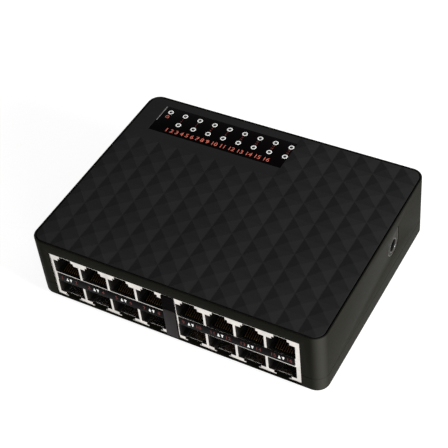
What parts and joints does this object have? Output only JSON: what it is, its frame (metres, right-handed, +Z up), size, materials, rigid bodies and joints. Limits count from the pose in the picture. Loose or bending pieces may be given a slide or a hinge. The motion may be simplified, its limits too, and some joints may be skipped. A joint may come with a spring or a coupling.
{
  "type": "desktop network switch",
  "caption": "Black desktop network switch with two banks of stacked RJ45 ports along one side, a faceted lift-off cover with an indicator strip, and a side power socket.",
  "frame": {"origin": "centre of the footprint, at the level the rubber feet stand on", "axes": "+X along the port face to the right as seen from the ports, +Y from the port face to the back, +Z up"},
  "size_m": [0.1386, 0.1054, 0.0351],
  "materials": {
    "case": "fine satin texture",
    "cover": "satin, faceted relief",
    "label_film": "glossy film",
    "light_guide": "clear moulded",
    "tinned_steel": "bright tin plate",
    "jack_plastic": "moulded",
    "gold_contact": "gold flash",
    "port_strip": "printed film",
    "divider": "satin",
    "board": "solder mask",
    "chip_epoxy": "moulded epoxy",
    "crystal_can": "satin",
    "capacitor_sleeve": "shrink sleeve",
    "ferrite": "pressed ferrite",
    "zinc_screw": "zinc plate",
    "foot_rubber": "matt",
    "power_jack_plastic": "moulded",
    "nickel_pin": "nickel"
  },
  "bodies": {
    "chassis": {"base_tray": "case", "wall_frame": "case", "case_screw_front_left": "zinc_screw", "case_screw_front_right": "zinc_screw", "case_screw_back_left": "zinc_screw", "case_screw_back_right": "zinc_screw", "rubber_foot_front_left": "foot_rubber", "rubber_foot_front_right": "foot_rubber", "rubber_foot_back_left": "foot_rubber", "rubber_foot_back_right": "foot_rubber", "jack_shield_left": "tinned_steel", "jack_housing_left": "jack_plastic", "port_label_left": "port_strip", "jack_shield_right": "tinned_steel", "jack_housing_right": "jack_plastic", "port_label_right": "port_strip", "port_divider": "divider", "circuit_board": "board", "switch_controller_chip": "chip_epoxy", "memory_chip": "chip_epoxy", "clock_crystal": "crystal_can", "voltage_regulator": "chip_epoxy", "power_inductor": "ferrite", "line_transformer_1": "chip_epoxy", "line_transformer_2": "chip_epoxy", "line_transformer_3": "chip_epoxy", "line_transformer_4": "chip_epoxy", "filter_capacitor_1": "capacitor_sleeve", "filter_capacitor_2": "capacitor_sleeve", "power_jack_housing": "power_jack_plastic", "power_jack_pin": "nickel_pin"},
    "cover": {"top_cover": "cover", "light_guide": "light_guide", "indicator_label": "label_film"},
    "contacts_01": {"port_contacts_01": "gold_contact"},
    "contacts_02": {"port_contacts_02": "gold_contact"},
    "contacts_03": {"port_contacts_03": "gold_contact"},
    "contacts_04": {"port_contacts_04": "gold_contact"},
    "contacts_05": {"port_contacts_05": "gold_contact"},
    "contacts_06": {"port_contacts_06": "gold_contact"},
    "contacts_07": {"port_contacts_07": "gold_contact"},
    "contacts_08": {"port_contacts_08": "gold_contact"},
    "contacts_09": {"port_contacts_09": "gold_contact"},
    "contacts_10": {"port_contacts_10": "gold_contact"},
    "contacts_11": {"port_contacts_11": "gold_contact"},
    "contacts_12": {"port_contacts_12": "gold_contact"},
    "contacts_13": {"port_contacts_13": "gold_contact"},
    "contacts_14": {"port_contacts_14": "gold_contact"},
    "contacts_15": {"port_contacts_15": "gold_contact"},
    "contacts_16": {"port_contacts_16": "gold_contact"},
    "power_spring": {"power_jack_spring": "gold_contact"}
  },
  "joints": [
    {"name": "cover_lift", "type": "slide", "parent": "chassis", "child": "cover", "axis": [0, 0, 1], "range_m": [0, 0.06]},
    {"name": "port_01_contact_flex", "type": "hinge", "parent": "chassis", "child": "contacts_01", "pos_m": [-0.05235, -0.0501, 0.0171], "axis": [-1, 0, 0], "range_deg": [0, 9], "stiffness_Nm_per_rad": 0.4},
    {"name": "port_02_contact_flex", "type": "hinge", "parent": "chassis", "child": "contacts_02", "pos_m": [-0.05235, -0.0501, 0.0136], "axis": [1, 0, 0], "range_deg": [0, 9], "stiffness_Nm_per_rad": 0.4},
    {"name": "port_03_contact_flex", "type": "hinge", "parent": "chassis", "child": "contacts_03", "pos_m": [-0.03839, -0.0501, 0.0171], "axis": [-1, 0, 0], "range_deg": [0, 9], "stiffness_Nm_per_rad": 0.4},
    {"name": "port_04_contact_flex", "type": "hinge", "parent": "chassis", "child": "contacts_04", "pos_m": [-0.03839, -0.0501, 0.0136], "axis": [1, 0, 0], "range_deg": [0, 9], "stiffness_Nm_per_rad": 0.4},
    {"name": "port_05_contact_flex", "type": "hinge", "parent": "chassis", "child": "contacts_05", "pos_m": [-0.02441, -0.0501, 0.0171], "axis": [-1, 0, 0], "range_deg": [0, 9], "stiffness_Nm_per_rad": 0.4},
    {"name": "port_06_contact_flex", "type": "hinge", "parent": "chassis", "child": "contacts_06", "pos_m": [-0.02441, -0.0501, 0.0136], "axis": [1, 0, 0], "range_deg": [0, 9], "stiffness_Nm_per_rad": 0.4},
    {"name": "port_07_contact_flex", "type": "hinge", "parent": "chassis", "child": "contacts_07", "pos_m": [-0.01044, -0.0501, 0.0171], "axis": [-1, 0, 0], "range_deg": [0, 9], "stiffness_Nm_per_rad": 0.4},
    {"name": "port_08_contact_flex", "type": "hinge", "parent": "chassis", "child": "contacts_08", "pos_m": [-0.01044, -0.0501, 0.0136], "axis": [1, 0, 0], "range_deg": [0, 9], "stiffness_Nm_per_rad": 0.4},
    {"name": "port_09_contact_flex", "type": "hinge", "parent": "chassis", "child": "contacts_09", "pos_m": [0.00864, -0.0501, 0.0171], "axis": [-1, 0, 0], "range_deg": [0, 9], "stiffness_Nm_per_rad": 0.4},
    {"name": "port_10_contact_flex", "type": "hinge", "parent": "chassis", "child": "contacts_10", "pos_m": [0.00864, -0.0501, 0.0136], "axis": [1, 0, 0], "range_deg": [0, 9], "stiffness_Nm_per_rad": 0.4},
    {"name": "port_11_contact_flex", "type": "hinge", "parent": "chassis", "child": "contacts_11", "pos_m": [0.02261, -0.0501, 0.0171], "axis": [-1, 0, 0], "range_deg": [0, 9], "stiffness_Nm_per_rad": 0.4},
    {"name": "port_12_contact_flex", "type": "hinge", "parent": "chassis", "child": "contacts_12", "pos_m": [0.02261, -0.0501, 0.0136], "axis": [1, 0, 0], "range_deg": [0, 9], "stiffness_Nm_per_rad": 0.4},
    {"name": "port_13_contact_flex", "type": "hinge", "parent": "chassis", "child": "contacts_13", "pos_m": [0.03658, -0.0501, 0.0171], "axis": [-1, 0, 0], "range_deg": [0, 9], "stiffness_Nm_per_rad": 0.4},
    {"name": "port_14_contact_flex", "type": "hinge", "parent": "chassis", "child": "contacts_14", "pos_m": [0.03658, -0.0501, 0.0136], "axis": [1, 0, 0], "range_deg": [0, 9], "stiffness_Nm_per_rad": 0.4},
    {"name": "port_15_contact_flex", "type": "hinge", "parent": "chassis", "child": "contacts_15", "pos_m": [0.05056, -0.0501, 0.0171], "axis": [-1, 0, 0], "range_deg": [0, 9], "stiffness_Nm_per_rad": 0.4},
    {"name": "port_16_contact_flex", "type": "hinge", "parent": "chassis", "child": "contacts_16", "pos_m": [0.05056, -0.0501, 0.0136], "axis": [1, 0, 0], "range_deg": [0, 9], "stiffness_Nm_per_rad": 0.4},
    {"name": "power_spring_flex", "type": "hinge", "parent": "chassis", "child": "power_spring", "pos_m": [0.05995, 0.0171, 0.01887], "axis": [0, 1, 0], "range_deg": [0, 6], "stiffness_Nm_per_rad": 0.2}
  ]
}
